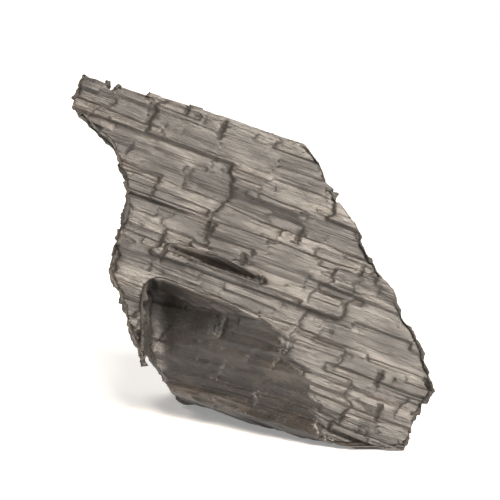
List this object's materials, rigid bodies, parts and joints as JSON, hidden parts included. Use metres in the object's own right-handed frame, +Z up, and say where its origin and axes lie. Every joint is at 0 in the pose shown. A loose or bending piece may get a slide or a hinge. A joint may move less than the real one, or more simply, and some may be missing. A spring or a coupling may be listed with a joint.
{
  "type": "charcoal lump",
  "caption": "Split chip of hardwood charcoal with a pointed beak, stepped broken ends, a fissure along the grain and a spalled pocket, standing on one flat break.",
  "frame": {"origin": "bottom middle of the box around the chip, on the flat break it stands on", "axes": "+X to the right along the chip's broad front face, in the direction the grain runs down; +Y from the front face to the back; +Z up"},
  "size_m": [0.0226, 0.0174, 0.0209],
  "materials": {
    "charcoal": "matte"
  },
  "bodies": {
    "root": {"charcoal_lump": "charcoal"}
  },
  "joints": []
}
